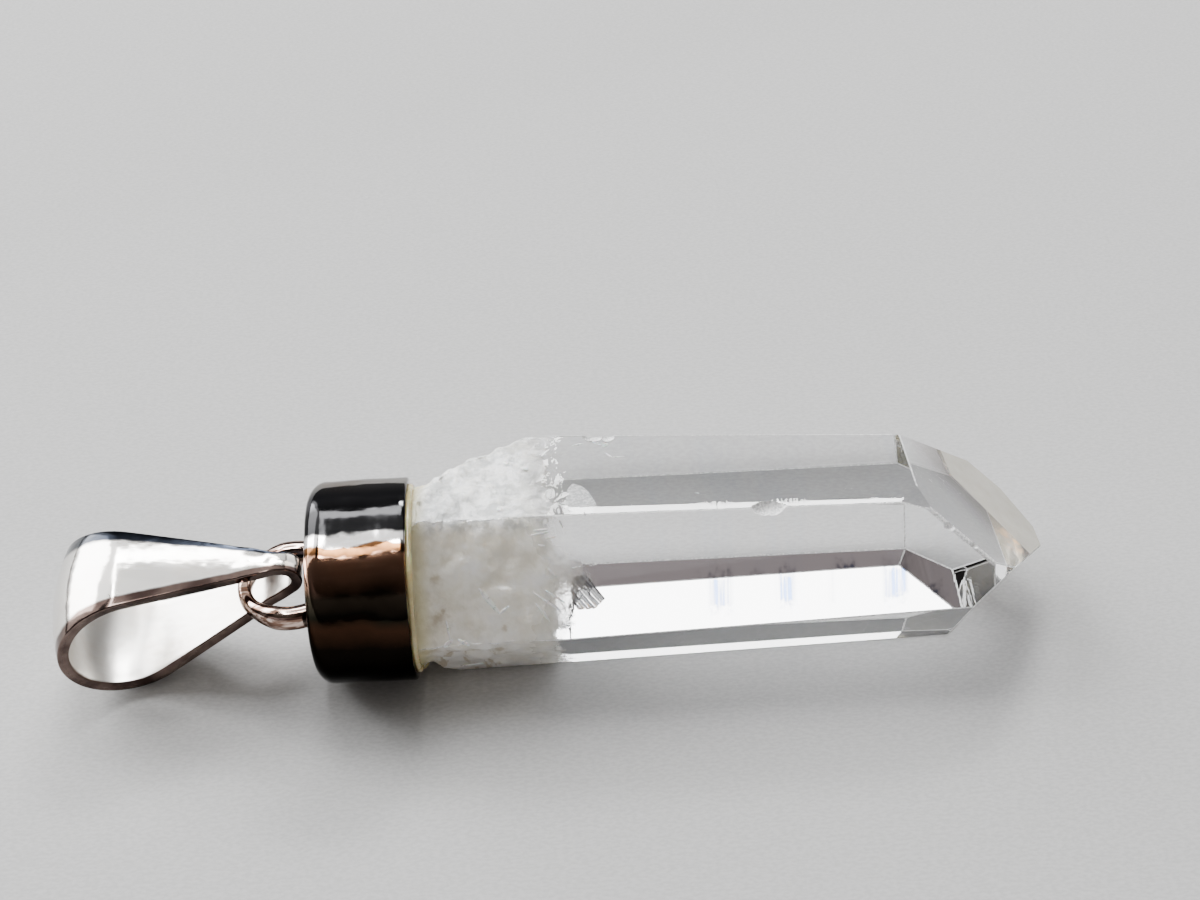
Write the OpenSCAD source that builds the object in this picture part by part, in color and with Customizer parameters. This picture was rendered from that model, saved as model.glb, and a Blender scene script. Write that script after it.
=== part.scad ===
// Quartz point pendant, lying on a table as it comes to rest.
// Millimetres. +X runs along the stone to its point, +Y away from the viewer, +Z up.
// The table is z = 0 and the origin is the middle of the footprint.

/* [Stone] */
// height of the lying stone between its bottom and top faces
stone_h = 7.65; // [7:0.05:8.4]
// length of the stone that stands out of the cup
stone_len = 26.3; // [22:0.1:32]
// distance of the stone's own middle line behind the cup's middle line
stone_off = 1; // [0.6:0.05:1.3]
// depth of the ground stub that is glued into the cup
stub_len = 3.2; // [2.6:0.1:3.4]
// radius of the ground stub
stub_r = 3.5; // [3.2:0.05:3.55]

/* [Cup] */
// outside diameter of the silver cup
cap_d = 8.2; // [8:0.05:8.6]
// length of the cup along the stone
cap_len = 4; // [3.9:0.1:5]
// thickness of the cup's wall
cap_wall = 0.35; // [0.25:0.05:0.4]
// thickness of the cup's closed end
cap_end = 0.4; // [0.3:0.05:0.5]
// radius of the shoulder round the closed end
cap_shoulder = 0.7; // [0.4:0.05:1]

/* [Ring] */
// radius of the ring's middle line
ring_r = 1.9; // [1.8:0.05:2.1]
// thickness of the ring's metal outward from its centre
ring_t = 0.55; // [0.4:0.05:0.6]
// height of the ring's metal
ring_h = 0.75; // [0.6:0.05:0.85]
// distance from the cup's closed end to the middle of the ring's crown
ring_out = 2.8; // [2.7:0.05:3]

/* [Bail] */
// thickness of the bail's strip
bail_t = 0.45; // [0.3:0.05:0.5]
// outside radius of the round fold
fold_r = 2.85; // [2.65:0.05:2.95]
// outside radius where the two ends close
close_r = 0.85; // [0.8:0.05:0.9]
// distance between the centres of those two rounds
bail_span = 6.4; // [6.2:0.05:6.7]
// distance from the hinge to the centre of the closed end's round
bail_back = 1.45; // [1.4:0.05:1.6]
// width of the strip where its ends close
close_w = 0.95; // [0.8:0.05:1.2]
// width of the strip at the far side of the fold
fold_w = 5.3; // [4.8:0.1:5.5]
// distance by which the bail lies off the ring's middle
bail_off = 0.35; // [0.2:0.05:0.5]
// angle by which the bail hangs down from the cup's line
bail_droop = 11; // [9:0.1:12]
// angle by which the bail leans over about its length
bail_lean = 9.5; // [0:0.5:12]
// angle by which the bail is turned toward the viewer
bail_turn = 4; // [0:0.5:8]

/* [Hidden] */
$fn = 96;

// a quartz end face leans this much to the prism's length
end_lean = 38.2;

// The stone's faces. turn: where the face looks, from straight up toward the viewer.
// share: distance of the prism face from the middle line, as a share of stone_h.
// taper: how much the prism face widens toward the cup. past: how far beyond the
// visible length the end face above it meets the middle line.
FACES = [
  // turn, share, taper, past
  [0, 0.462, 0.45, -1.65],
  [60, 0.469, -0.75, 1.3],
  [120, 0.506, 0.8, 0.75],
  [180, 0.536, 0, 1.65],
  [240, 0.778, 0.55, 2.2],
  [300, 0.462, 3.7, 1.7]
];

// The broken base, from the mouth of the cup outward along the stone.
BASE = [
  // radius, distance from the mouth
  [3.62, 0.2],
  [4.45, 1.8],
  [5.6, 4.8],
  [8.5, 5.9]
];

cap_r = cap_d / 2;
bore_r = cap_r - cap_wall;
stone_z = FACES[3][1] * stone_h;
hinge_x = -cap_len - ring_out;
gap = 0.03;

// how far the bail's fold reaches back from the hinge
bail_reach = bail_span - bail_back + fold_r;

// the middle of the footprint, measured from the middle of the cup's mouth
mid_x = (stone_len + hinge_x - fold_w / 2 * sin(bail_turn)
         - ((bail_span - bail_back) * cos(bail_droop) + fold_r) * cos(bail_turn)) / 2;
mid_y = 1.528;

// Everything on one side of a plane that faces up at the given height.
module beyond(height, lean) {
  translate([0, 0, height])
    rotate([0, lean, 0])
      translate([-60, -60, 0])
        cube([120, 120, 60]);
}

// The stone, or the stone grown by a little for the glue round it.
module stone(grow) {
  difference() {
    rotate([0, 90, 0])
      rotate_extrude()
        polygon(concat(
          [[0, -stub_len - grow], [stub_r + grow, -stub_len - grow], [stub_r + grow, 0.1]],
          [for (row = BASE) [row[0] + grow, row[1]]],
          [[8.5 + grow, stone_len + 4], [0, stone_len + 4]]
        ));
    for (row = FACES)
      translate([0, stone_off, stone_z - cap_r])
        rotate([row[0], 0, 0]) {
          translate([stone_len - 5, 0, 0])
            beyond(row[1] * stone_h + grow, row[2]);
          translate([stone_len + row[3], 0, 0])
            beyond(grow, end_lean);
        }
  }
}

module crystal() {
  color([0.86, 0.88, 0.9, 0.5])
    stone(0);
}

// Glue fills the cup round the stub and shows as a thin line at the mouth.
module adhesive() {
  color([0.85, 0.78, 0.55])
    difference() {
      rotate([0, 90, 0])
        translate([0, 0, -cap_len + cap_end + gap])
          cylinder(h = cap_len - cap_end - gap + 0.1, r = bore_r - gap);
      stone(gap);
    }
}

// Half of the cup's section: the outline with a rounded shoulder, less the bore.
module cup_section() {
  difference() {
    union() {
      translate([0, -cap_len + cap_shoulder])
        square([cap_r, cap_len - cap_shoulder]);
      translate([0, -cap_len])
        square([cap_r - cap_shoulder, cap_shoulder + 0.1]);
      translate([cap_r - cap_shoulder, -cap_len + cap_shoulder])
        circle(r = cap_shoulder);
    }
    translate([-1, -cap_len + cap_end])
      square([bore_r + 1, cap_len]);
    translate([-1, -cap_len - 1])
      square([1, cap_len + 2]);
  }
}

// The section of the ring's metal: flat sides with round top and bottom.
module ring_section() {
  square([ring_t, ring_h - ring_t], center = true);
  for (side = [-1, 1])
    translate([0, side * (ring_h - ring_t) / 2])
      circle(r = ring_t / 2);
}

module cap() {
  color([0.78, 0.77, 0.75]) {
    rotate([0, 90, 0])
      rotate_extrude()
        cup_section();
    difference() {
      translate([hinge_x + ring_r, 0, 0])
        rotate_extrude()
          translate([ring_r, 0])
            ring_section();
      translate([-cap_len + cap_end / 2, -10, -10])
        cube([20, 20, 20]);
    }
  }
}

// A solid pear across the bail: two rounds and the straight sides between them. The
// sides run a hair inside the true tangents, so they meet the rounds cleanly.
module pear(fold, close, across) {
  nx = (fold - close) / bail_span;
  nz = sqrt(1 - nx * nx);
  fold_x = bail_back - bail_span;
  fold_s = fold - 0.006;
  close_s = close - 0.006;
  rotate([90, 0, 0]) {
    translate([fold_x, 0, 0])
      cylinder(h = across, r = fold, center = true);
    translate([bail_back, 0, 0])
      cylinder(h = across, r = close, center = true);
    linear_extrude(height = across, center = true)
      polygon([
        [fold_x + fold_s * nx, fold_s * nz],
        [bail_back + close_s * nx, close_s * nz],
        [bail_back + close_s * nx, -close_s * nz],
        [fold_x + fold_s * nx, -fold_s * nz]
      ]);
  }
}

// The strip follows the pear outline, and widens evenly from its ends to the fold.
module bail() {
  color([0.82, 0.81, 0.79])
    translate([hinge_x, bail_off, 0])
      rotate([0, 0, bail_turn])
        rotate([bail_lean, 0, 0])
          rotate([0, -bail_droop, 0])
            difference() {
              pear(fold_r, close_r, 7);
              pear(fold_r - bail_t, close_r - bail_t, 8);
              for (side = [-1, 1])
                linear_extrude(height = 12, center = true)
                  polygon([
                    [bail_back, side * close_w / 2],
                    [-bail_reach, side * fold_w / 2],
                    [-bail_reach - 1, side * fold_w / 2],
                    [-bail_reach - 1, side * 9],
                    [bail_back + 3, side * 9],
                    [bail_back + 3, side * close_w / 2]
                  ]);
            }
}

translate([-mid_x, -mid_y, cap_r]) {
  crystal();
  adhesive();
  cap();
  bail();
}
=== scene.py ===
import math

import bmesh
import bpy
from mathutils import Matrix, Quaternion, Vector


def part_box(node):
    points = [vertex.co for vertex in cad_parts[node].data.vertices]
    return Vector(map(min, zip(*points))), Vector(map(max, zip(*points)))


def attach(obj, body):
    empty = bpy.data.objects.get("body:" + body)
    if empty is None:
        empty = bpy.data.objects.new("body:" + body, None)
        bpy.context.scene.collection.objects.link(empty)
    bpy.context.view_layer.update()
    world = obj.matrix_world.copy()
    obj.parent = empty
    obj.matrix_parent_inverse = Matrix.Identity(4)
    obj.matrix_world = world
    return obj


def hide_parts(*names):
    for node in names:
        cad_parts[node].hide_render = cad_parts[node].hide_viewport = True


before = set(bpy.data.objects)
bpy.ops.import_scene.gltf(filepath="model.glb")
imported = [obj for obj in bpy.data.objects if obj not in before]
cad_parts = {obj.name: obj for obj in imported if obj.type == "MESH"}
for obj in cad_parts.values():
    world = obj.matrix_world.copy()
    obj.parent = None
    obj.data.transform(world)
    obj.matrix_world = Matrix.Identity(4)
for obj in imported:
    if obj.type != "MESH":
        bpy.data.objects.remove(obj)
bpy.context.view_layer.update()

MM = 0.001


# The stone: one natural quartz crystal, lying on a prism face. Six prism faces and six
# end faces are as they grew. The base is broken off, rough and milky, and ground to a
# stub that is glued into the cup.
cap_low, cap_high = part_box("cap")
MOUTH_X = cap_high.x
CUP_Y = (cap_low.y + cap_high.y) / 2
CUP_R = (cap_high.z - cap_low.z) / 2
STONE_H = 7.65 * MM
STONE_LEN = 26.3 * MM
END_LEAN = math.radians(38.2)
STONE_CUT = 0.536
# a cut merges the points that lie nearer to it than this
CUT_FINE = 0.001 * MM
# the stub and the broken base from the cup outward: radius, distance from the mouth
BASE = [(3.5, -3.2), (3.5, 0.1), (3.62, 0.2), (4.45, 1.8), (5.6, 4.8), (8.5, 5.9), (8.5, 31)]
# turn from straight up toward the viewer, distance from the middle line as a share of
# the height, widening toward the cup in degrees, reach of the end face past the length
FACES = [
    (0, 0.462, 0.45, -1.65),
    (60, 0.469, -0.75, 1.3),
    (120, 0.506, 0.8, 0.75),
    (180, 0.536, 0, 1.65),
    (240, 0.778, 0.55, 2.2),
    (300, 0.462, 3.7, 1.7),
]


def start(add, name, **settings):
    """Adds a primitive in edit mode with nothing else selected."""
    bpy.ops.object.select_all(action="DESELECT")
    add(**settings)
    piece = bpy.context.object
    piece.name = piece.data.name = name
    bpy.ops.object.mode_set(mode="EDIT")
    bpy.ops.mesh.select_all(action="SELECT")
    return piece


def settle():
    """Leaves edit mode and moves the piece's place into its mesh."""
    if bpy.context.mode == "EDIT_MESH":
        bpy.ops.object.mode_set(mode="OBJECT")
    bpy.ops.object.transform_apply(location=True, rotation=True, scale=True)


def pick(piece, test, mode="FACE"):
    """Selects the faces or points in edit mode whose middle passes a test."""
    bpy.ops.mesh.select_mode(type=mode)
    bpy.ops.mesh.select_all(action="DESELECT")
    mesh = bmesh.from_edit_mesh(piece.data)
    if mode == "FACE":
        for face in mesh.faces:
            face.select = test(face.calc_center_median())
    else:
        for point in mesh.verts:
            point.select = test(point.co)
    mesh.select_flush_mode()
    bmesh.update_edit_mesh(piece.data)


def shape(kind, **settings):
    """Adds a modifier to the piece in hand and applies it."""
    bpy.ops.object.modifier_add(type=kind)
    change = bpy.context.object.modifiers[-1]
    for key, value in settings.items():
        setattr(change, key, value)
    bpy.ops.object.modifier_apply(modifier=change.name)


def grown_faces(line, inset=0.0):
    """Trims the piece in hand by the twelve crystal faces, each set in by a distance."""
    along = Vector((1, 0, 0))
    for turn, share, taper, past in FACES:
        look = Vector((0, -math.sin(math.radians(turn)), math.cos(math.radians(turn))))
        lean = math.radians(taper)
        prism = line + along * (STONE_LEN - 5 * MM) + look * (share * STONE_H - inset)
        end = line + along * (STONE_LEN + past * MM - inset)
        for point, normal in (
            (prism, along * math.sin(lean) + look * math.cos(lean)),
            (end, along * math.sin(END_LEAN) + look * math.cos(END_LEAN)),
        ):
            bpy.ops.mesh.select_all(action="SELECT")
            bpy.ops.mesh.bisect(
                plane_co=point,
                plane_no=normal,
                use_fill=True,
                clear_outer=True,
                threshold=CUT_FINE,
            )


def turned_blank(name, profile, inset=0.0):
    """Turns a round blank along the cup's middle line from a list of radii and places."""
    first, place = profile[0]
    blank = start(
        bpy.ops.mesh.primitive_circle_add,
        name,
        vertices=96,
        radius=(first - inset) * MM,
        fill_type="NGON",
        location=(MOUTH_X + place * MM, CUP_Y, CUP_R),
        rotation=(0, math.pi / 2, 0),
    )
    for (radius, place), (wider, further) in zip(profile, profile[1:]):
        bpy.ops.mesh.extrude_region_move(
            TRANSFORM_OT_translate={"value": ((further - place) * MM, 0, 0)}
        )
        grow = (wider - inset) / (radius - inset)
        bpy.ops.transform.resize(
            value=(1, grow, grow), center_override=(MOUTH_X + further * MM, CUP_Y, CUP_R)
        )
    bpy.ops.mesh.select_all(action="SELECT")
    bpy.ops.mesh.normals_make_consistent(inside=False)
    settle()
    bpy.ops.object.mode_set(mode="EDIT")
    return blank


stone = turned_blank("quartz_point", BASE)
stone_line = Vector((MOUTH_X, CUP_Y + 1 * MM, STONE_CUT * STONE_H))
grown_faces(stone_line)
MOUTH = Vector((MOUTH_X, CUP_Y, CUP_R))
# a small extra facet where the top face, the front face and the end face meet
bpy.ops.mesh.select_all(action="SELECT")
bpy.ops.mesh.bisect(
    plane_co=MOUTH + Vector((19.2, -1.15, 3.55)) * MM,
    plane_no=(0.22, -0.19, 1.19),
    use_fill=True,
    clear_outer=True,
    threshold=CUT_FINE,
)
settle()
quartz = bpy.data.materials.new("quartz")
bruised = bpy.data.materials.new("bruised_quartz")
for finish in (quartz, bruised):
    bpy.ops.object.material_slot_add()
    stone.material_slots[-1].material = finish
# every edge outside the cup is a little worn, and the one between the upper end face and
# the front face is bruised all along
bpy.ops.object.mode_set(mode="EDIT")
bpy.ops.mesh.select_all(action="SELECT")
bpy.ops.mesh.bisect(
    plane_co=(MOUTH_X + 0.3 * MM, 0, 0), plane_no=(1, 0, 0), threshold=CUT_FINE
)
bpy.ops.mesh.select_mode(type="EDGE")
for bruise, wide in ((True, 0.14), (False, 0.04)):
    bpy.ops.mesh.select_all(action="DESELECT")
    edit = bmesh.from_edit_mesh(stone.data)
    for edge in edit.edges:
        middle = ((edge.verts[0].co + edge.verts[1].co) / 2 - MOUTH) / MM
        on_bruise = (middle - Vector((21.55, -1.75, 2.45))).length < 0.35
        outside = min(point.co.x for point in edge.verts) > MOUTH_X + 0.29 * MM
        edge.select = on_bruise if bruise else outside and edge.calc_face_angle(0) > 0.6
    bmesh.update_edit_mesh(stone.data)
    bpy.ops.mesh.bevel(offset=wide * MM, segments=2 if bruise else 1, material=1)
settle()

# chips knocked out of the edges: place from the mouth's middle, size along, across, deep
CHIPS = [
    ((14.05, -1.0, 3.6), (0.66, 0.4, 0.32)),
    ((14.5, -0.95, 3.62), (0.3, 0.22, 0.12)),
    ((7.55, 3.9, 3.6), (0.42, 0.3, 0.24)),
    ((8.15, 3.85, 3.6), (0.28, 0.3, 0.2)),
    ((21.25, -1.66, 2.66), (0.26, 0.2, 0.2)),
    ((20.75, -1.42, 3.08), (0.13, 0.12, 0.12)),
    ((22.25, -2.02, 1.88), (0.2, 0.14, 0.12)),
]
shell_like = bpy.data.textures.new("shell_like", type="CLOUDS")
shell_like.noise_scale = 0.4 * MM


def carve(base, other, operation):
    """Cuts or joins another solid into the piece for good and leaves the piece in hand."""
    bpy.ops.object.select_all(action="DESELECT")
    base.select_set(True)
    bpy.context.view_layer.objects.active = base
    shape(
        "BOOLEAN",
        object=other,
        operation=operation,
        solver="EXACT",
        material_mode="TRANSFER",
    )
    bpy.data.objects.remove(other)


for spot, size in CHIPS:
    chip = start(
        bpy.ops.mesh.primitive_ico_sphere_add,
        "chip",
        subdivisions=4,
        radius=MM,
        location=MOUTH + Vector(spot) * MM,
        scale=size,
    )
    settle()
    shape("DISPLACE", texture=shell_like, texture_coords="GLOBAL", strength=0.14 * MM)
    chip.data.materials.append(bruised)
    carve(stone, chip, "DIFFERENCE")
# a fine net over the broken base, so that its surface can be broken up
ROUGH_END = MOUTH_X + 6.4 * MM
bpy.ops.object.mode_set(mode="EDIT")
step = 0.3 * MM
for k in range(-1, 21):
    if k > 0:
        pick(stone, lambda c: MOUTH_X - 4 * MM < c.x < ROUGH_END)
    else:
        bpy.ops.mesh.select_all(action="SELECT")
    bpy.ops.mesh.bisect(
        plane_co=(ROUGH_END - k * step, 0, 0), plane_no=(1, 0, 0), threshold=CUT_FINE
    )
for axis, low, count in ((1, CUP_Y - 3.4 * MM, 38), (2, 0.2 * MM, 25)):
    for k in range(count):
        normal = [0, 0, 0]
        normal[axis] = 1
        spot = [0, 0, 0]
        spot[axis] = low + k * step
        pick(stone, lambda c: MOUTH_X < c.x < ROUGH_END)
        bpy.ops.mesh.bisect(plane_co=spot, plane_no=normal, threshold=CUT_FINE)
pick(stone, lambda c: MOUTH_X < c.x < ROUGH_END - step)
bpy.ops.mesh.subdivide(number_cuts=1)
settle()
net = stone.vertex_groups.new(name="broken")
for point in stone.data.vertices:
    beyond_mouth = (point.co.x - MOUTH_X) / MM
    if 0.05 < beyond_mouth < 6.2 and point.co.z > 0.03 * MM:
        fade_in = min(1, (beyond_mouth - 0.05) / 0.4)
        fade_out = min(1, (6.1 - beyond_mouth) / 3.0)
        off_table = min(1, point.co.z / (0.6 * MM))
        net.add([point.index], max(0, fade_in * fade_out * off_table), "REPLACE")
shape("SMOOTH", vertex_group="broken", factor=0.6, iterations=10)
break_up = bpy.data.textures.new("break_up", type="CLOUDS")
break_up.noise_scale = 0.8 * MM
break_up.noise_depth = 3
break_up.contrast = 1.6
shape(
    "DISPLACE",
    texture=break_up,
    texture_coords="GLOBAL",
    vertex_group="broken",
    strength=0.34 * MM,
    mid_level=0.95,
)
bpy.ops.object.mode_set(mode="EDIT")
pick(stone, lambda c: MOUTH_X < c.x < ROUGH_END - 2 * step)
bpy.ops.mesh.faces_shade_smooth()
settle()


class Wire:
    """One socket of a finish. Sums and products on it add the Math nodes."""

    def __init__(self, finish, socket):
        self.finish = finish
        self.socket = socket

    def math(self, operation, first, second=0.0):
        return self.finish.node(
            "ShaderNodeMath", {"operation": operation}, {0: first, 1: second}
        )

    def __add__(self, other):
        return self.math("ADD", self, other)

    __radd__ = __add__

    def __mul__(self, other):
        return self.math("MULTIPLY", self, other)

    __rmul__ = __mul__

    def __sub__(self, other):
        return self.math("SUBTRACT", self, other)

    def __rsub__(self, other):
        return self.math("SUBTRACT", other, self)

    def __truediv__(self, other):
        return self.math("DIVIDE", self, other)


class Finish:
    """A procedural finish, on a piece's own coordinates in metres."""

    def __init__(self, owner, coordinates="Object"):
        owner.use_nodes = True
        self.owner = owner
        self.tree = owner.node_tree
        self.tree.nodes.clear()
        self.place = self.node("ShaderNodeTexCoord", out=coordinates)
        apart = {"Vector": self.place}
        self.x = self.node("ShaderNodeSeparateXYZ", {}, apart, out="X")
        self.y = self.node("ShaderNodeSeparateXYZ", {}, apart, out="Y")
        self.z = self.node("ShaderNodeSeparateXYZ", {}, apart, out="Z")

    def node(self, kind, settings=None, sockets=None, out=0):
        node = self.tree.nodes.new(kind)
        for key, value in (settings or {}).items():
            if key == "stops":
                while len(node.color_ramp.elements) < len(value):
                    node.color_ramp.elements.new(0.5)
                for element, (place, colour) in zip(node.color_ramp.elements, value):
                    element.position = place
                    element.color = (*colour, 1)
            else:
                setattr(node, key, value)
        for key, value in (sockets or {}).items():
            if isinstance(value, Wire):
                self.tree.links.new(value.socket, node.inputs[key])
            else:
                node.inputs[key].default_value = value
        return Wire(self, node.outputs[out]) if node.outputs else node

    def fade(self, value, low, high):
        """Nought below one value and one above the other, smooth in between."""
        return self.node(
            "ShaderNodeMapRange",
            {"interpolation_type": "SMOOTHSTEP"},
            {"Value": value, "From Min": low, "From Max": high},
        )

    def beyond(self, facing, reach):
        """How far a place lies beyond a plane set out from the mouth's middle, in mm."""
        share = self.x * facing[0] + self.y * facing[1] + self.z * facing[2]
        return (share - MOUTH.dot(Vector(facing))) / MM - reach

    def away(self, spot):
        """How far a place lies from a spot measured from the mouth's middle, in mm."""
        off = self.node(
            "ShaderNodeVectorMath",
            {"operation": "DISTANCE"},
            {0: self.place, 1: MOUTH + Vector(spot) * MM},
            out="Value",
        )
        return off / MM

    def noise(self, grain, detail=3.0, stretch=(1, 1, 1), shift=(0, 0, 0), rough=0.55):
        """Cloudy noise whose lumps are about one grain, in mm, across."""
        where = self.node(
            "ShaderNodeMapping",
            {},
            {"Vector": self.place, "Location": shift, "Scale": stretch},
        )
        return self.node(
            "ShaderNodeTexNoise",
            {},
            {"Vector": where, "Scale": 1 / (grain * MM), "Detail": detail, "Roughness": rough},
        )

    def blend(self, factor, first, second):
        """Mixes two colours."""
        first, second = (c if isinstance(c, Wire) else (*c, 1) for c in (first, second))
        return self.node(
            "ShaderNodeMix",
            {"data_type": "RGBA"},
            {"Factor": factor, 6: first, 7: second},
            out=2,
        )

    def bump(self, height, depth):
        """Turns a height from nought to one into a normal, for a depth in mm."""
        return self.node(
            "ShaderNodeBump", {}, {"Height": height, "Distance": depth * MM, "Strength": 1.0}
        )

    def shader(self, **sockets):
        names = {key.replace("_", " "): value for key, value in sockets.items()}
        return self.node("ShaderNodeBsdfPrincipled", {}, names)

    def mix(self, factor, first, second):
        """Mixes two shaders."""
        return self.node("ShaderNodeMixShader", {}, {0: factor, 1: first, 2: second})

    def close(self, shader):
        self.node("ShaderNodeOutputMaterial", {}, {"Surface": shader})
        return self.owner


def milk_share(q, near=3.7, reach=2.6, spread=2.6):
    """How milky the stone is at a place: one by the cup, nought in the clear part."""
    along = (q.x - MOUTH_X) / MM
    lump = q.fade(q.z / MM, 3.6, 5.8) * (1 - q.fade(q.z / MM, 5.9, 7.3))
    edge = (q.noise(2.0, 3) - 0.5) * spread + (q.noise(0.6, 3) - 0.5) * spread * 0.4
    return 1 - q.fade(along + edge - lump * 0.9, near, near + reach)


def broken_share(q):
    """One on the broken slope round the base, nought on the grown faces."""
    off_line = q.node("ShaderNodeCombineXYZ", {}, {"Y": q.y - CUP_Y, "Z": q.z - CUP_R})
    round_about = q.node(
        "ShaderNodeVectorMath", {"operation": "LENGTH"}, {0: off_line}, out="Value"
    )
    along = (q.x - MOUTH_X) / MM - 4.8
    slope = q.node("ShaderNodeMath", {"operation": "MAXIMUM"}, {0: along * 0.38, 1: along * 2.636})
    return q.fade(round_about / MM - slope, 5.4, 5.56)


# iron stains on the base: place from the mouth's middle, size
STAINS = [
    ((1, -1.92, 1.59), 0.3),
    ((1.02, -2.73, 0.19), 0.36),
    ((1.1, -2.55, 0.55), 0.22),
    ((3.53, -3.01, -0.24), 0.16),
    ((3.61, -3.32, -0.77), 0.16),
    ((0.54, -2.98, -1.43), 0.4),
    ((1.5, -2.8, -1.7), 0.36),
    ((2.4, -2.74, -1.8), 0.34),
    ((3.3, -2.69, -1.85), 0.3),
]

# where blue streaks of light are painted on the front face's lines: begin and end along the stone
PAINTED_BLUE_STREAKS = [(11.5, 12.7), (14.2, 15.2), (16.3, 16.7), (18.4, 19.7)]
# the upper end face, and the two lines on it where the painted reflection of the milky base begins,
# each as a plane: the way it faces, distance from the mouth's middle
END_FACE = ((0.6184, 0, 0.7859), 15.24)
BAND_FRONT = ((0.4351, 0.8327, -0.3424), 11.087)
BAND_LEFT = ((0.7834, 0.0798, -0.6164), 16.596)
# the middle of the painted orange glint on the upper end face, from the mouth's middle
PAINTED_GLINT_SPOT = (24.36, -0.27, 0.23)


def quartz_finish():
    """Clear at the point, milky and grainy toward the cup, with iron stains by it."""
    q = Finish(quartz)
    along = (q.x - MOUTH_X) / MM
    milk = q.node(
        "ShaderNodeMath", {"operation": "MAXIMUM"}, {0: milk_share(q), 1: broken_share(q) * 0.8}
    )
    grain = q.noise(0.28, 4)
    lumps = q.noise(0.9, 3)
    # fine growth lines run across the faces, in patches
    lines = q.noise(0.16, 2, stretch=(1, 0.04, 0.04))
    patch = q.fade(q.noise(1.6, 1, stretch=(1, 0.25, 0.25), shift=(0.004, 0, 0)), 0.5, 0.62)
    upper = q.fade(q.z / MM, 6.9, 7.6)
    height = (grain * 0.6 + lumps * 0.4) * milk * (upper * 0.5 + 0.5) + lines * patch * 0.008
    normal = q.bump(height, 0.2)
    # a faint painted blue tint in the light along the growth lines
    painted_blue_tint = patch * q.fade(lines, 0.3, 0.7) * (1 - milk) * 0.3
    # painted blue streaks in the light: on the front face four patches of the lines are tinted dark
    # blue
    painted_blue_patches = 0.0
    for near, far in PAINTED_BLUE_STREAKS:
        painted_blue_patches = painted_blue_patches + q.fade(along, near, near + 0.3) * (1 - q.fade(along, far - 0.3, far))
    high = q.z / MM + (q.noise(0.3, 2) - 0.5) * 1.2
    painted_blue_patches = painted_blue_patches * q.fade(high, 4.0, 4.5) * (1 - q.fade(high, 5.2, 5.8))
    painted_blue_patches = painted_blue_patches * (1 - q.fade((q.y - CUP_Y) / MM, -1.8, -1.5)) * q.fade(lines, 0.2, 0.55)
    glass = q.blend(painted_blue_patches, q.blend(painted_blue_tint, (1, 1, 1), (0.8, 0.88, 1.0)), (0.012, 0.026, 0.085))
    # painted shade on the upper end face: dark brown toward the point, with a painted orange glint in
    # it
    end_face = q.fade(q.beyond(*END_FACE), -0.14, -0.08)
    inside_band = q.beyond(*BAND_FRONT)
    painted_end_shade = end_face * q.fade(inside_band, -2.4, -0.1) * q.fade(along, 19.0, 22.5)
    streaks = q.fade(q.noise(0.22, 3, stretch=(0.4, 1, 0.6)), 0.45, 0.6)
    painted_glint = streaks * (1 - q.fade(q.away(PAINTED_GLINT_SPOT), 0.5, 1.0))
    painted_shade_colour = q.blend(painted_glint, (0.1, 0.06, 0.045), (1.0, 0.42, 0.12))
    clear = q.shader(
        Base_Color=q.blend(painted_end_shade * 0.9, glass, painted_shade_colour),
        Roughness=milk * 0.35,
        IOR=1.544,
        Transmission_Weight=1.0,
        Normal=normal,
    )
    soft = q.fade(q.noise(1.7, 4, shift=(0.005, 0.001, 0)) * 0.75 + grain * 0.25, 0.36, 0.62)
    pearl = q.blend(soft, (0.78, 0.75, 0.66), (1, 0.97, 0.91))
    cool = q.blend(q.fade(grain * 0.5 + lumps * 0.5, 0.42, 0.6), (0.5, 0.52, 0.53), (0.9, 0.91, 0.92))
    pale = q.blend(upper, pearl, cool)
    veil = q.fade(q.noise(0.7, 4, stretch=(0.5, 1, 1), shift=(0.002, 0.003, 0)), 0.55, 0.68)
    pale = q.blend(veil * 0.4, pale, (1, 1, 0.99))
    low_down = 1 - q.fade(q.z / MM, 1.8, 4.6)
    spots = q.fade(q.noise(0.75, 4, stretch=(1.5, 1, 0.6), shift=(0.001, 0.002, 0)), 0.54, 0.64)
    stain = spots * low_down * (1 - q.fade(along, 2.8, 4.2)) * q.fade(along, 0.4, 0.9) * 0.6
    ragged = q.noise(0.4, 4, shift=(0.002, 0, 0)) * 2.4 - 1.2
    for spot, size in STAINS:
        stain = stain + (1 - q.fade(q.away(spot) / size + ragged, 0.3, 1.4)) * 0.6
    colour = q.blend(stain, pale, (0.34, 0.25, 0.12))
    colour = q.blend((1 - q.fade(along, 0.15, 0.9)) * 0.75, colour, (0.74, 0.68, 0.4))
    milky = q.shader(
        Base_Color=colour,
        Roughness=0.4,
        IOR=1.5,
        Subsurface_Weight=0.75,
        Subsurface_Radius=(1, 0.94, 0.84),
        Subsurface_Scale=0.9 * MM,
        Coat_Weight=0.25,
        Coat_Roughness=0.15,
        Normal=normal,
    )
    # painted reflection: the milky base, as mirrored inside the stone, is painted in a cream band along
    # the back of the upper end face
    painted_reflection_band = end_face * q.fade(inside_band, -0.06, 0.02)
    painted_reflection_band = painted_reflection_band * q.fade(q.beyond(*BAND_LEFT), -0.06, 0.02)
    painted_reflection = q.shader(
        Base_Color=q.blend(q.noise(0.9, 3), (0.52, 0.49, 0.4), (0.78, 0.75, 0.64)),
        Roughness=0.1,
        Coat_Weight=1.0,
    )
    body = q.mix(painted_reflection_band * 0.75, q.mix(milk * 0.9, clear, milky), painted_reflection)
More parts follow.
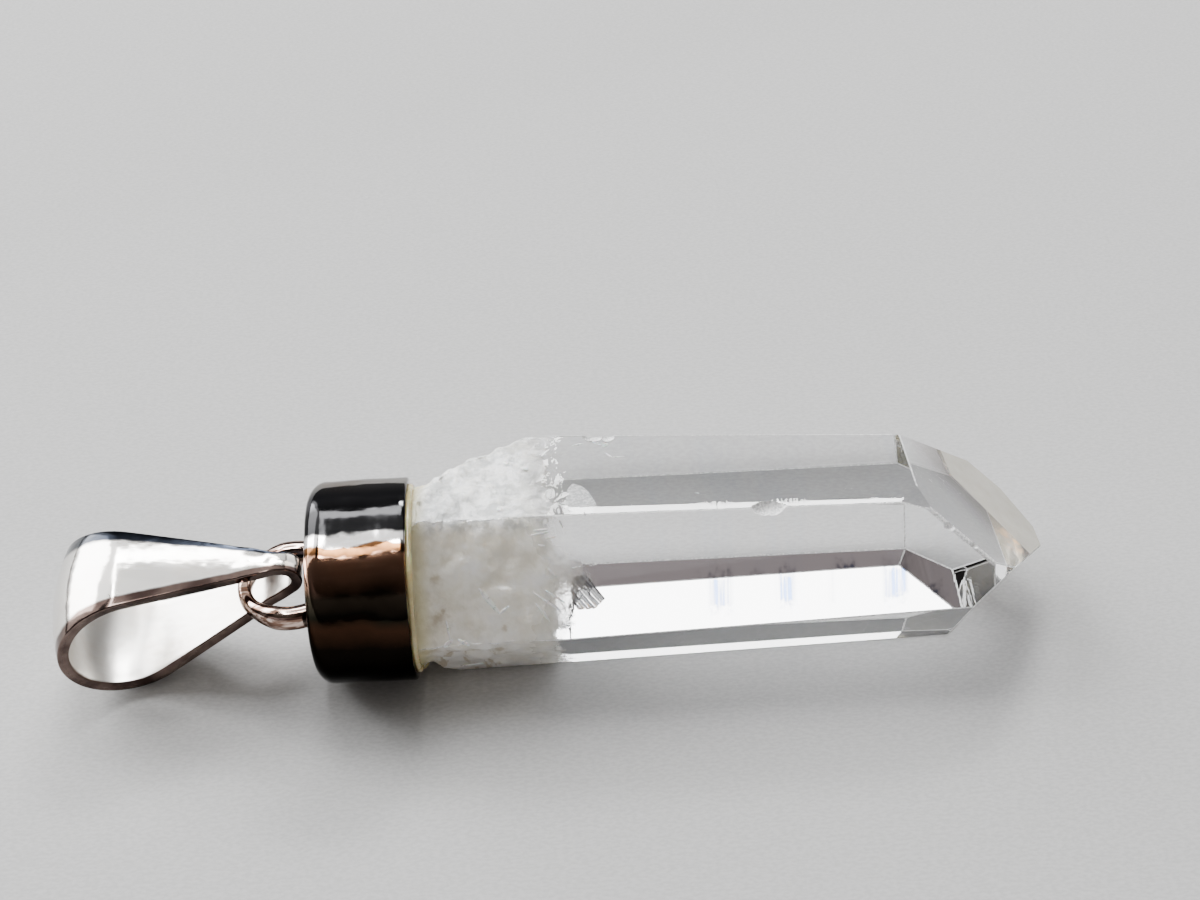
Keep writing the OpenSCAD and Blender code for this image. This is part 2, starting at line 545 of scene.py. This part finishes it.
    # lamps shine through the milky part onto its heart, and less through the clear part
    dim = q.node("ShaderNodeBsdfTransparent", {}, {"Color": (0.1, 0.1, 0.1, 1)})
    bright = q.node("ShaderNodeBsdfTransparent", {}, {"Color": (0.8, 0.79, 0.76, 1)})
    shadow_ray = q.node("ShaderNodeLightPath", out="Is Shadow Ray")
    return q.close(q.mix(shadow_ray, body, q.mix(milk, dim, bright)))


def bruised_finish():
    """Broken quartz on chips and worn edges: whitish, rough and half clear."""
    b = Finish(bruised)
    grain = b.noise(0.09, 4)
    return b.close(
        b.shader(
            Base_Color=b.blend(b.fade(grain, 0.4, 0.6), (0.86, 0.87, 0.88), (1, 1, 1)),
            Roughness=grain * 0.3 + 0.12,
            IOR=1.544,
            Transmission_Weight=0.25,
            Normal=b.bump(grain, 0.03),
        )
    )


quartz_finish()
bruised_finish()
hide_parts("crystal")
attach(stone, "drop")


# The milky heart of the base: where the crystal grew from the rock it is full of healed
# cracks and tiny bubbles, which fade out in wisps toward the clear part.
heart = turned_blank("milky_heart", BASE[1:6], inset=0.35)
grown_faces(stone_line, inset=0.35 * MM)
bpy.ops.mesh.select_all(action="SELECT")
bpy.ops.mesh.bisect(
    plane_co=MOUTH + Vector((5.7, 0, 0)) * MM,
    plane_no=(1, 0.12, 0.1),
    use_fill=True,
    clear_outer=True,
    threshold=CUT_FINE,
)
settle()
shape("REMESH", mode="VOXEL", voxel_size=0.14 * MM)
heart_cracks = bpy.data.textures.new("heart_cracks", type="CLOUDS")
heart_cracks.noise_scale = 1.3 * MM
heart_cracks.noise_depth = 4
shape("DISPLACE", texture=heart_cracks, texture_coords="GLOBAL", strength=0.9 * MM, mid_level=0.95)
bpy.ops.object.shade_smooth()
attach(heart, "drop")


def milk_finish():
    m = Finish(bpy.data.materials.new("milky_quartz"))
    grain = m.noise(0.3, 4, shift=(0.003, 0.001, 0.002))
    solid = milk_share(m, near=4.0, reach=1.5, spread=4.0)
    pale = m.blend(m.fade(grain, 0.35, 0.65), (0.88, 0.85, 0.74), (1, 0.97, 0.88))
    skin = m.shader(
        Base_Color=pale,
        Roughness=0.6,
        Subsurface_Weight=0.6,
        Subsurface_Radius=(1, 0.95, 0.85),
        Subsurface_Scale=2.2 * MM,
        Alpha=solid * 0.52 + 0.46,
        Normal=m.bump(grain, 0.15),
    )
    return m.close(skin)


heart.data.materials.append(milk_finish())


# Healed cracks in the base: small bright plates and threads of trapped air at its faces.
# Each is a flattened lump, drawn between two places on a plain face. Where the broken base
# lies below that face, some lumps stand clear of the stone, by less than 0.1 mm.
FLECKS = [
    ("top", (3.83, 2.58, 3.67), (4.07, 2.49, 3.67), 0.21),
    ("top", (4.51, 2.27, 3.67), (4.82, 2.06, 3.66), 0.22),
    ("top", (3.53, -0.14, 3.67), (3.72, -0.33, 3.67), 0.18),
    ("front", (4.75, -1.17, 2.99), (5.5, -1.12, 3.09), 0.12),
    ("front", (4.88, -1.07, 3.15), (5.46, -1.06, 3.2), 0.08),
    ("front", (5.33, -1.25, 2.86), (5.76, -1.23, 2.91), 0.08),
    ("front", (5.04, -1.36, 2.66), (5.31, -1.39, 2.62), 0.08),
    ("front", (5.91, -0.9, 3.49), (6.05, -1.06, 3.21), 0.08),
    ("front", (6.24, -1.87, 1.81), (6.75, -1.85, 1.86), 0.08),
    ("front", (5.38, -1.85, 1.82), (5.72, -2.03, 1.52), 0.12),
    ("front", (2.62, -2.12, 1.27), (3.41, -2.68, 0.33), 0.2),
    ("front", (3.41, -2.68, 0.33), (3.78, -2.53, 0.59), 0.12),
    ("front", (4.71, -2.29, 1.04), (5.8, -2.72, 0.33), 0.08),
    ("front", (5.22, -2.27, 1.09), (6.01, -2.58, 0.57), 0.08),
    ("front", (4.84, -2.52, 0.65), (5.35, -2.92, -0.04), 0.12),
    ("front", (1.14, -3.28, -0.76), (1.48, -3.13, -0.5), 0.2),
    ("front", (1.71, -3.14, -0.51), (2.17, -3.28, -0.74), 0.16),
    ("front", (1.29, -2.72, 0.21), (1.4, -3.13, -0.49), 0.08),
    ("front", (6.89, -0.78, 3.72), (6.96, -0.86, 3.58), 0.06),
    ("under", (1.55, -1.72, -3.58), (2.58, -1.81, -3.39), 0.08),
    ("top", (6.63, 3.38, 3.65), (7.17, 3.53, 3.65), 0.13),
    ("top", (7.5, 3.63, 3.64), (7.94, 3.34, 3.64), 0.18),
    ("top", (7.89, 3.22, 3.64), (8.15, 3.45, 3.64), 0.2),
    ("top", (7.94, 2.89, 3.64), (8.24, 2.55, 3.64), 0.07),
    ("top", (8.24, 2.55, 3.64), (8.77, 2.57, 3.63), 0.06),
    ("top", (11.29, 0.1, 3.61), (11.53, 0.08, 3.61), 0.08),
]
LOOKS = {"top": (0, 0, 1), "front": (0, -0.866, 0.5), "under": (0, -0.866, -0.5)}
flecks = start(bpy.ops.mesh.primitive_ico_sphere_add, "bright_flecks", radius=MM)
bpy.ops.mesh.delete(type="VERT")
for side, begin, end, wide in FLECKS:
    way = Vector(end) - Vector(begin)
    middle = (Vector(begin) + Vector(end)) / 2 - 0.03 * Vector(LOOKS[side])
    flat = Vector(LOOKS[side])
    across = flat.cross(way).normalized()
    turned = Matrix((way.normalized(), across, flat)).transposed()
    bpy.ops.mesh.primitive_ico_sphere_add(
        subdivisions=3,
        radius=MM,
        location=MOUTH + middle * MM,
        rotation=turned.to_euler(),
        scale=(way.length / 2, wide / 2, 0.035),
    )
settle()
crumple = bpy.data.textures.new("crumple", type="CLOUDS")
crumple.noise_scale = 0.12 * MM
shape("DISPLACE", texture=crumple, texture_coords="GLOBAL", strength=0.05 * MM)
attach(flecks, "drop")


def air_finish():
    a = Finish(bpy.data.materials.new("trapped_air"))
    grain = a.noise(0.1, 3)
    return a.close(
        a.shader(
            Base_Color=a.blend(grain, (0.9, 0.91, 0.93), (1, 1, 1)),
            Roughness=grain * 0.3 + 0.1,
            Coat_Weight=0.6,
            Subsurface_Weight=0.3,
            Subsurface_Scale=0.2 * MM,
            Alpha=a.fade(a.noise(0.25, 3, shift=(0.001, 0, 0)), 0.25, 0.5) * 0.9,
        )
    )


flecks.data.materials.append(air_finish())


def plate(name, outline, thick, material):
    """A thin plate in the stone, from an outline measured from the mouth's middle."""
    piece = start(
        bpy.ops.mesh.primitive_circle_add,
        name,
        vertices=len(outline),
        radius=MM,
        fill_type="NGON",
    )
    for k, spot in enumerate(outline):
        edit = bmesh.from_edit_mesh(piece.data)
        edit.verts.ensure_lookup_table()
        now = edit.verts[k].co.copy()
        pick(piece, lambda c: (c - now).length < 1e-9, mode="VERT")
        bpy.ops.transform.translate(value=MOUTH + Vector(spot) * MM - now)
    bpy.ops.mesh.select_mode(type="FACE")
    bpy.ops.mesh.select_all(action="SELECT")
    bpy.ops.mesh.extrude_region_move(TRANSFORM_OT_translate={"value": Vector(thick) * MM})
    bpy.ops.mesh.select_all(action="SELECT")
    bpy.ops.mesh.normals_make_consistent(inside=False)
    bpy.ops.mesh.subdivide(number_cuts=5)
    settle()
    piece.data.materials.append(material)
    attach(piece, "drop")
    return piece


# A broken white plate under the ridge, and a small striped crystal that grew into the
# stone's front face and shows dark against the light.
patch_outline = [(6.13, -0.39), (6.31, 0.73), (6.53, 1.07), (6.84, 0.93), (7.13, 0.54)]
patch_outline += [(7.4, -0.25), (7.25, -0.75), (6.4, -0.8)]
white_plate = plate(
    "white_plate",
    [(x, y, 3.7 - 0.0079 * x - 0.03) for x, y in patch_outline],
    (0.04, 0.06, -0.12),
    bruised,
)
shape("DISPLACE", texture=crumple, texture_coords="GLOBAL", strength=0.06 * MM, mid_level=0.9)


def striped_finish():
    """Dark and clear growth stripes, with an orange stain along the lower end."""
    s = Finish(bpy.data.materials.new("striped_quartz"))
    slant = (s.x + s.z * 0.9 + s.noise(0.4, 2) * 0.00012) / MM
    stripe = s.node("ShaderNodeMath", {"operation": "SINE"}, {0: slant * 22.0})
    dark = s.fade(stripe, -0.3, 0.4)
    low = 1 - s.fade(s.z / MM, 4.05, 4.4)
    colour = s.blend(dark, (0.62, 0.62, 0.64), (0.05, 0.05, 0.06))
    return s.close(
        s.shader(
            Base_Color=s.blend(low * 0.8, colour, (0.7, 0.36, 0.12)),
            Roughness=0.15,
            Alpha=dark * 0.75 + 0.2,
        )
    )


plate(
    "striped_crystal",
    [
        (6.31, -1.8, 1.3),
        (6.74, -1.77, 1.35),
        (7.48, -2.31, 0.44),
        (7.11, -2.48, 0.14),
        (6.44, -2.47, 0.13),
        (6.23, -2.22, 0.56),
    ],
    (0.1, 0.25, -0.15),
    striped_finish(),
)


# The cup and ring: a plain silver end cup, drawn from thin sheet with a round shoulder,
# knocked and dented a little by wear, with a ring of flattened wire soldered on its end.
cup_profile = [(3.4, -4)]
for k in range(1, 9):
    bend = math.radians(90 * k / 8)
    cup_profile.append((3.4 + 0.7 * math.sin(bend), -4 + 0.7 * (1 - math.cos(bend))))
cup_profile += [(4.1, -3.3 + 0.33 * k) for k in range(1, 10)]
cup_profile += [(4.1, -0.1), (4.07, -0.03), (4.0, 0), (3.83, 0), (3.77, -0.03), (3.75, -0.1)]
cup_profile += [(3.75, -3.3), (3.45, -3.6)]
cup = turned_blank("cup_and_ring", cup_profile)
settle()
bpy.ops.object.mode_set(mode="EDIT")
bpy.ops.mesh.select_all(action="SELECT")
bpy.ops.mesh.normals_make_consistent(inside=False)
settle()
knocks = bpy.data.textures.new("knocks", type="CLOUDS")
knocks.noise_scale = 2.6 * MM
knocks.noise_depth = 1
shape("DISPLACE", texture=knocks, texture_coords="GLOBAL", strength=0.13 * MM, mid_level=0.75)
RING_MID = Vector((MOUTH_X - 4.9 * MM, CUP_Y, CUP_R))
ring = start(
    bpy.ops.mesh.primitive_circle_add,
    "ring",
    vertices=24,
    radius=0.275 * MM,
    fill_type="NGON",
    location=RING_MID + Vector((-1.9 * MM, 0, 0)),
    rotation=(math.pi / 2, 0, 0),
)
settle()
bpy.ops.object.mode_set(mode="EDIT")
for side in (-1, 1):
    pick(ring, lambda c: side * (c.z - CUP_R) > 0.001 * MM, mode="VERT")
    bpy.ops.transform.translate(value=(0, 0, side * 0.1 * MM))
bpy.ops.mesh.select_all(action="SELECT")
bpy.ops.transform.rotate(value=math.radians(123), orient_axis="Z", center_override=RING_MID)
bpy.ops.mesh.select_all(action="SELECT")
bpy.ops.mesh.spin(steps=64, angle=math.radians(-246), center=RING_MID, axis=(0, 0, 1))
bpy.ops.mesh.select_all(action="SELECT")
bpy.ops.mesh.remove_doubles(threshold=0.001 * MM)
bpy.ops.mesh.normals_make_consistent(inside=False)
settle()
# solder has thickened the ring's two arms toward the cup
arms = ring.vertex_groups.new(name="arms")
for point in ring.data.vertices:
    toward_cup = (point.co.x - MOUTH_X) / MM + 6.3
    arms.add([point.index], min(1, max(0, toward_cup / 0.9)), "REPLACE")
shape("DISPLACE", vertex_group="arms", strength=0.13 * MM, mid_level=0)
carve(cup, ring, "UNION")
# solder has run into the corners between the ring and the cup
for side in (-1, 1):
    solder = start(
        bpy.ops.mesh.primitive_ico_sphere_add,
        "solder",
        subdivisions=4,
        radius=MM,
        location=MOUTH + Vector((-3.95, side * 1.72, 0)) * MM,
        scale=(0.3, 0.5, 0.46),
    )
    settle()
    shape("DISPLACE", texture=shell_like, texture_coords="GLOBAL", strength=0.1 * MM)
    carve(cup, solder, "UNION")
bpy.ops.object.shade_smooth_by_angle(angle=math.radians(50))
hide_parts("cap")
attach(cup, "drop")


def silver_finish(name, bright, brown, tarnish):
    """Starts a silver finish: a thin brown tarnish over the silver and fine rubbing marks; the callers
    add the polish and soft dents.
    """
    s = Finish(bpy.data.materials.new(name))
    rubbed = s.noise(0.25, 3, stretch=(0.15, 1, 1))
    film = s.fade(s.noise(2.4, 3) * 0.7 + rubbed * 0.3, 0.42, 0.66) * tarnish
    return s, rubbed, film, s.blend(film, bright, brown)


def cup_finish():
    """Painted reflections on the cup's front, in bands by the turn round its middle from the table
    upward, over the thin brown tarnish.
    """
    s, rubbed, film, colour = silver_finish("silver_cup", (0.74, 0.71, 0.67), (0.42, 0.3, 0.2), 0.6)
    turn = s.node(
        "ShaderNodeMath", {"operation": "ARCTAN2"}, {0: s.z - CUP_R, 1: CUP_Y - s.y}
    )
    turn = turn * (180 / math.pi) + (s.noise(1.6, 3) - 0.5) * 14
    # painted reflections in bands by the turn: near black low down, a gold glow, a painted white
    # highlight, dark grey on top; they cover only the viewer's side
    painted_reflection_bands = s.node(
        "ShaderNodeValToRGB",
        {
            "stops": [
                (0.0, (0.002, 0.002, 0.002)),
                (0.4, (0.004, 0.003, 0.002)),
                (0.49, (0.03, 0.014, 0.008)),
                (0.54, (0.01, 0.01, 0.007)),
                (0.62, (0.06, 0.05, 0.035)),
                (0.69, (0.6, 0.36, 0.26)),
                (0.755, (0.9, 0.5, 0.32)),
                (0.77, (0.06, 0.026, 0.01)),
                (0.797, (0.22, 0.1, 0.04)),
                (0.805, (1.0, 0.98, 0.96)),
                (0.832, (1.0, 0.98, 0.96)),
                (0.845, (0.018, 0.018, 0.019)),
                (0.94, (0.03, 0.03, 0.031)),
                (1.0, (0.1, 0.1, 0.105)),
            ]
        },
        {"Fac": s.node("ShaderNodeMapRange", {}, {"Value": turn, "From Min": -60.0, "From Max": 95.0})},
    )
    front = 1 - s.fade((s.y - CUP_Y) / MM, 0.6, 2.6)
    colour = s.blend(front, colour, painted_reflection_bands)
    on_ring = 1 - s.fade((s.x - MOUTH_X) / MM, -4.15, -4.0)
    ring_tone = s.blend(s.fade(rubbed, 0.45, 0.6), (0.2, 0.12, 0.09), (0.8, 0.62, 0.54))
    colour = s.blend(on_ring, colour, ring_tone)
    dents = s.noise(1.3, 2, shift=(0.002, 0, 0))
    fine = s.noise(0.05, 2)
    return s.close(
        s.shader(
            Base_Color=colour,
            Metallic=1.0,
            Roughness=film * 0.06 + rubbed * 0.06 + 0.05,
            Specular_Tint=(0.5, 0.5, 0.5, 1),
            Normal=s.bump(dents * 0.93 + rubbed * 0.05 + fine * 0.02, 0.03),
        )
    )


cup.data.materials.clear()
cup.data.materials.append(cup_finish())


# The glue: clear resin that holds the stub in the cup. It has set yellow, shows as a
# thin bead along the mouth, and ran into one drop under it.
def resin_finish():
    r = Finish(bpy.data.materials.new("set_resin"))
    murk = r.fade(r.noise(0.8, 3), 0.35, 0.65)
    return r.close(
        r.shader(
            Base_Color=r.blend(murk, (0.72, 0.66, 0.36), (0.5, 0.42, 0.2)),
            Roughness=murk * 0.2 + 0.15,
            Coat_Weight=0.5,
            Subsurface_Weight=0.3,
            Subsurface_Scale=0.3 * MM,
            Normal=r.bump(r.noise(0.4, 3), 0.04),
        )
    )


resin = resin_finish()
sealed = bpy.data.objects["adhesive"]
sealed.data.materials.clear()
sealed.data.materials.append(resin)
bead = start(
    bpy.ops.mesh.primitive_circle_add,
    "glue_bead",
    vertices=16,
    radius=0.13 * MM,
    fill_type="NOTHING",
    location=MOUTH + Vector((0.06, 0, 3.68)) * MM,
    rotation=(math.pi / 2, 0, 0),
)
bpy.ops.mesh.spin(
    steps=120, angle=2 * math.pi, center=MOUTH, axis=(1, 0, 0), use_auto_merge=True
)
bpy.ops.mesh.select_all(action="SELECT")
bpy.ops.mesh.remove_doubles(threshold=0.002 * MM)
bpy.ops.mesh.normals_make_consistent(inside=False)
bpy.ops.mesh.primitive_ico_sphere_add(
    subdivisions=4, radius=MM, location=MOUTH + Vector((0.1, -1.1, -3.72)) * MM, scale=(0.25, 0.4, 0.3)
)
settle()
runs = bpy.data.textures.new("runs", type="CLOUDS")
runs.noise_scale = 0.9 * MM
shape("DISPLACE", texture=runs, texture_coords="GLOBAL", strength=0.09 * MM)
bpy.ops.object.shade_smooth()
bead.data.materials.append(resin)
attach(bead, "drop")


# The bail: a strip of silver sheet, wide at the round fold and narrow where its two ends
# are pinched together round the ring. It hangs loose and swings.
STRIP = 0.45
FOLD_R = 2.85
CLOSE_R = 0.85
SPAN = 6.4
BACK = 1.45
CLOSE_W = 0.95
FOLD_W = 5.3
# the strip is domed across: where it is widest, its middle stands this much above its edges
DOME = 0.34
EDGE_DROP = 0.29
lift = math.asin((FOLD_R - CLOSE_R) / SPAN)
FOLD_X = (BACK - SPAN) * MM
CLOSE_X = BACK * MM
mid_close = (CLOSE_R - STRIP / 2 - EDGE_DROP) * MM
first = Vector((CLOSE_X + mid_close * math.sin(lift), 0, mid_close * math.cos(lift)))
bail = start(bpy.ops.mesh.primitive_plane_add, "silver_strip_bail", size=2 * MM)
pick(bail, lambda c: c.x > 0, mode="VERT")
bpy.ops.mesh.delete(type="VERT")
bpy.ops.mesh.select_all(action="SELECT")
bpy.ops.transform.translate(value=first + Vector((1 * MM, 0, 0)))
LEG = SPAN * math.cos(lift) * MM
STEPS = 24


def draw_out(way):
    """Draws the strip's free end out by one leg in small steps."""
    for k in range(STEPS):
        bpy.ops.mesh.extrude_region_move(TRANSFORM_OT_translate={"value": way * (LEG / STEPS)})


draw_out(Vector((-math.cos(lift), 0, math.sin(lift))))
bpy.ops.mesh.spin(
    steps=64, angle=math.pi + 2 * lift, center=(FOLD_X, 0, 0), axis=(0, 1, 0)
)
draw_out(Vector((math.cos(lift), 0, math.sin(lift))))
bpy.ops.mesh.spin(
    steps=16, angle=math.pi - 2 * lift, center=(CLOSE_X, 0, 0), axis=(0, 1, 0)
)
bpy.ops.mesh.select_all(action="SELECT")
bpy.ops.mesh.remove_doubles(threshold=0.003 * MM)


def half_width(place):
    """Half the strip's width where it has come this far from the hinge, in mm."""
    back = max(0.0, BACK - place)
    return CLOSE_W / 2 + (FOLD_W - CLOSE_W) / 2 * back / (SPAN + FOLD_R)


# the strip widens evenly from the pinch to the fold
edit = bmesh.from_edit_mesh(bail.data)
for place in sorted({round(point.co.x / MM, 4) for point in edit.verts}):
    pick(bail, lambda c: round(c.x / MM, 4) == place, mode="VERT")
    wide = half_width(place) - 0.02
    bpy.ops.transform.resize(value=(1, wide, 1), center_override=(0, 0, 0))
edit = bmesh.from_edit_mesh(bail.data)
for edge in edit.edges:
    edge.select = abs(edge.verts[0].co.y - edge.verts[1].co.y) > 0.5 * MM
bpy.ops.mesh.subdivide(number_cuts=11)
settle()
crown = bail.vertex_groups.new(name="crown")
pinch = bail.vertex_groups.new(name="pinch")
for point in bail.data.vertices:
    off_middle = point.co.y / MM
    crown.add([point.index], max(0, 1 - off_middle**2 / 6.2), "REPLACE")
    pinch.add([point.index], min(1, max(0, point.co.x / MM + 0.6)), "REPLACE")
shape("DISPLACE", vertex_group="crown", strength=-DOME * MM, mid_level=0)
# the pliers that pinched the ends together left small flats on them
plier_marks = bpy.data.textures.new("plier_marks", type="VORONOI")
plier_marks.noise_scale = 0.7 * MM
shape(
    "DISPLACE",
    texture=plier_marks,
    texture_coords="GLOBAL",
    vertex_group="pinch",
    strength=0.12 * MM,
)
shape("SOLIDIFY", thickness=STRIP * MM, offset=0, use_even_offset=True)
shape("BEVEL", width=0.15 * MM, segments=4, limit_method="ANGLE", angle_limit=1.0)
bpy.ops.object.shade_smooth_by_angle(angle=math.radians(40))
# how near each point is to the strip's cut edges, below nought on the viewer's side; it places the
# painted reflections on the edges
rim = bail.data.attributes.new("rim", "FLOAT", "POINT")
satin = bail.data.attributes.new("satin", "FLOAT", "POINT")
for point in bail.data.vertices:
    inside = half_width(point.co.x / MM) - abs(point.co.y) / MM
    reach = 0.14
    if point.co.z > 0 and point.normal.z > 0.2:
        wide = half_width(point.co.x / MM)
        reach = 0.45 * wide if point.co.y > 0 else 0.14 * wide + 0.25
    share = max(0.0, min(1.0, 1.15 - inside / reach))
    rim.data[point.index].value = math.copysign(share, point.co.y)
    # the inside is satin and not polished
    to_middle = Vector((-3 * MM - point.co.x, 0, -point.co.z)).normalized()
    satin.data[point.index].value = max(0.0, min(1.0, point.normal.dot(to_middle) * 3))
bail.rotation_mode = "YXZ"
bail.rotation_euler = (math.radians(9.5), math.radians(-11), math.radians(4))
bail.location = MOUTH + Vector((-6.8, 0.35, 0)) * MM
settle()
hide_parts("bail")
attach(bail, "bail")


def bail_finish():
    """Bright polished silver, rubbed along the strip, with painted reflections along the cut edges."""
    s, rubbed, film, colour = silver_finish("silver_bail", (0.88, 0.86, 0.82), (0.6, 0.48, 0.36), 0.25)
    edge = s.node("ShaderNodeAttribute", {"attribute_name": "rim"}, out="Fac")
    satin = s.node("ShaderNodeAttribute", {"attribute_name": "satin"}, out="Fac")
    wander = (s.noise(1.2, 3) - 0.5) * 0.35
    painted_near_reflection = s.blend(s.fade(s.noise(1.6, 3), 0.35, 0.7), (0.05, 0.032, 0.028), (0.2, 0.145, 0.125))
    # painted reflections: dark brown along the edges on the viewer's side, near black over the far side
    # of the top
    colour = s.blend(s.fade(edge * -1 + wander, 0.25, 0.5), colour, painted_near_reflection)
    colour = s.blend(s.fade(edge + wander, 0.3, 0.6), colour, (0.02, 0.024, 0.034))
    return s.close(
        s.shader(
            Base_Color=colour,
            Metallic=1.0,
            Roughness=film * 0.08 + rubbed * 0.08 + 0.08 + satin * 0.22,
            Normal=s.bump(s.noise(1.2, 2) * 0.9 + rubbed * 0.1, 0.03),
        )
    )


bail.data.materials.clear()
bail.data.materials.append(bail_finish())

# The studio: a plain pale table, soft lamps and the camera at the photograph's angle. The
# lamps are placed by what the stone and the silver mirror toward the camera.
CAMERA = Vector((-1.135, -48.554, 49.311)) * MM
LOOK = Vector((0.0478, 0.7684, -0.6381))
ROLL = math.radians(-0.89)
bpy.ops.object.camera_add(location=CAMERA)
camera = bpy.context.object
camera.data.sensor_width = 36
camera.data.lens = 48
camera.data.clip_start = 1 * MM
camera.rotation_mode = "QUATERNION"
camera.rotation_quaternion = LOOK.to_track_quat("-Z", "Y") @ Quaternion((0, 0, 1), ROLL)
bpy.context.scene.camera = camera

floor = start(bpy.ops.mesh.primitive_plane_add, "table", size=2, location=(0, 0, -0.02 * MM))
settle()
t = Finish(bpy.data.materials.new("table"))
speck = t.fade(t.noise(0.12, 3, stretch=(0.5, 1, 1)), 0.3, 0.7)
shade = t.blend(speck, (0.36, 0.36, 0.36), (0.42, 0.42, 0.42))
floor.data.materials.append(t.close(t.shader(Base_Color=shade, Roughness=0.8)))


def softbox(name, facing, sides, heights, distance, glow, colour=(1, 1, 1)):
    """Hangs a flat soft light that faces the stone's ridge between four angles."""
    ridge = Vector((8, -2.5, 7.6)) * MM
    turn = math.radians(facing)
    low, high = (math.radians(h) for h in heights)
    rise = (low + high) / 2
    way = Vector(
        (math.sin(turn) * math.cos(rise), math.cos(turn) * math.cos(rise), math.sin(rise))
    )
    across = Vector((math.cos(turn), -math.sin(turn), 0))
    left, right = (
        distance * math.cos(rise) * math.tan(math.radians(s - facing)) for s in sides
    )
    bpy.ops.object.light_add(
        type="AREA", location=ridge + way * distance + across * (left + right) / 2
    )
    lamp = bpy.context.object
    lamp.name = name
    lamp.rotation_mode = "QUATERNION"
    lamp.rotation_quaternion = (-way).to_track_quat("-Z", "Y")
    lamp.data.shape = "RECTANGLE"
    lamp.data.size = right - left
    lamp.data.size_y = 2 * distance * math.tan((high - low) / 2)
    lamp.data.energy = glow * math.pi * lamp.data.size * lamp.data.size_y
    lamp.data.color = colour
    return lamp


softbox("window", 1.4, (-2, 21), (41.64, 49), 0.6, 50)
softbox("side_window", -58, (-92, -26), (4, 68), 0.7, 2.2)
softbox("low_side_window", -58, (-80, -34), (8, 52), 0.65, 11)
fill = softbox("fill", 195, (150, 240), (30, 80), 0.6, 0.5, (1, 0.96, 0.9))
fill.visible_glossy = False
fill.visible_transmission = False


def ceiling_light(name, low, high, glow):
    """Hangs a flat lamp half a metre up, between two corners."""
    bpy.ops.object.light_add(
        type="AREA", location=((low[0] + high[0]) / 2, (low[1] + high[1]) / 2, 0.5)
    )
    lamp = bpy.context.object
    lamp.name = name
    lamp.data.shape = "RECTANGLE"
    lamp.data.size = high[0] - low[0]
    lamp.data.size_y = high[1] - low[1]
    lamp.data.energy = glow * math.pi * lamp.data.size * lamp.data.size_y
    lamp.visible_transmission = False
    return lamp


ceiling_light("ceiling", (-0.1, -0.05), (0.33, 0.28), 0.9)
ceiling_light("ceiling_light", (-0.13, 0.12), (0.06, 0.4), 18)
strip = ceiling_light("ceiling_strip", (-0.13, -0.145), (0.06, 0.12), 26)
strip.visible_diffuse = False
# the room: dim on the viewer's side with a warm wall low down, greyer at the back
room = Finish(bpy.data.worlds.new("room"), "Generated")
tone = room.blend(room.fade(room.y, -0.8, 0.8), (0.045, 0.036, 0.03), (0.13, 0.13, 0.135))
wall = room.fade(room.z, -0.05, 0.15) * (1 - room.fade(room.z, 0.36, 0.5))
wall = wall * (1 - room.fade(room.y, -0.7, -0.2))
tone = room.blend(wall, tone, (0.27, 0.235, 0.24))
sky = room.node("ShaderNodeBackground", {}, {"Color": tone})
room.node("ShaderNodeOutputWorld", {}, {"Surface": sky})
bpy.context.scene.world = room.owner
